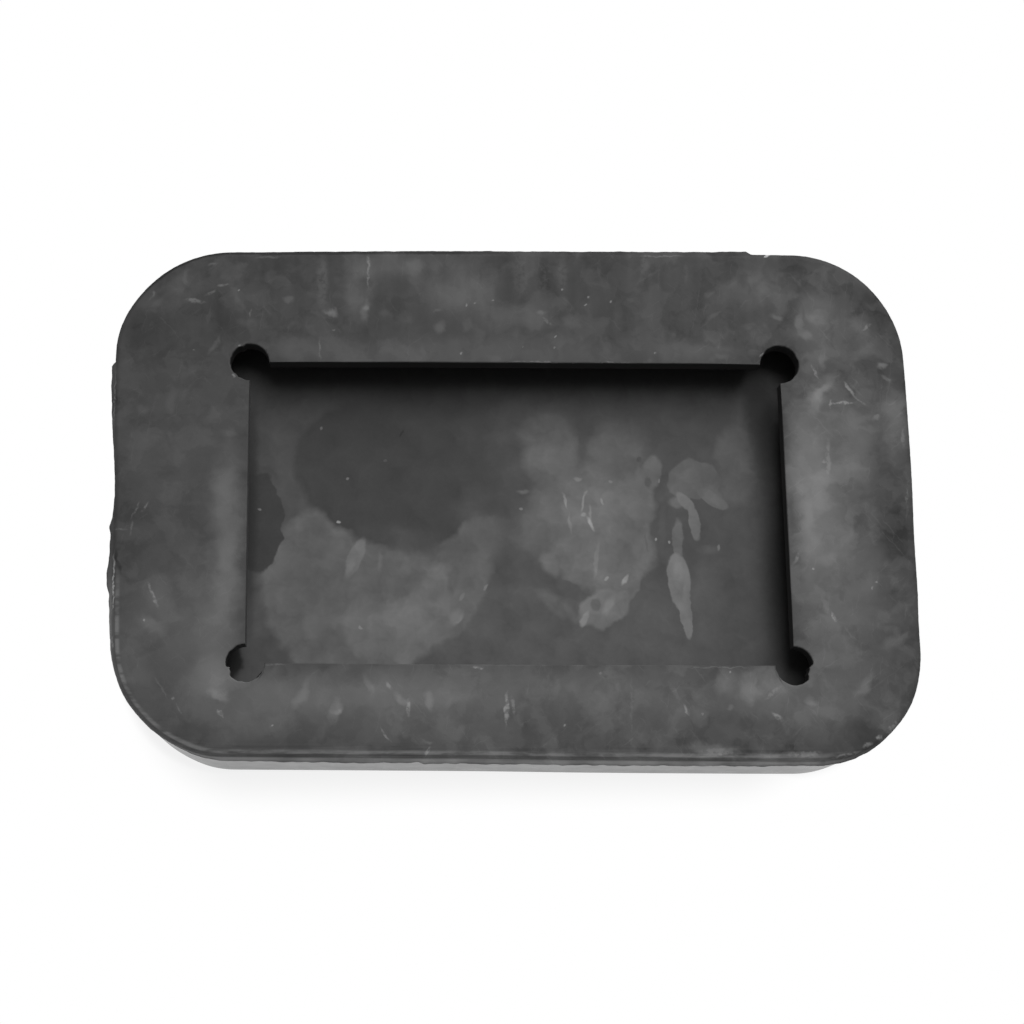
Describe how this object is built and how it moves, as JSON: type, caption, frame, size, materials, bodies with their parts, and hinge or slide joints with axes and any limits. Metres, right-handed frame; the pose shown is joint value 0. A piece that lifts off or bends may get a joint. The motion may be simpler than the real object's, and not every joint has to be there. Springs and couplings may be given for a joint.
{
  "type": "clutch pedal pad",
  "caption": "Moulded rubber pad that slips over a clutch pedal plate, with a grooved tread face and an open-backed pocket whose lip holds the plate.",
  "frame": {"origin": "middle of the tread face that the pad lies on", "axes": "+X along the pad's long side, +Y towards the wide side of the lip, +Z out of the window in the back"},
  "size_m": [0.09, 0.0588, 0.0145],
  "materials": {
    "rubber": "matt black moulded rubber, slightly greyed by bloom and handling smudges"
  },
  "bodies": {
    "root": {"pedal_pad": "rubber"}
  },
  "joints": []
}
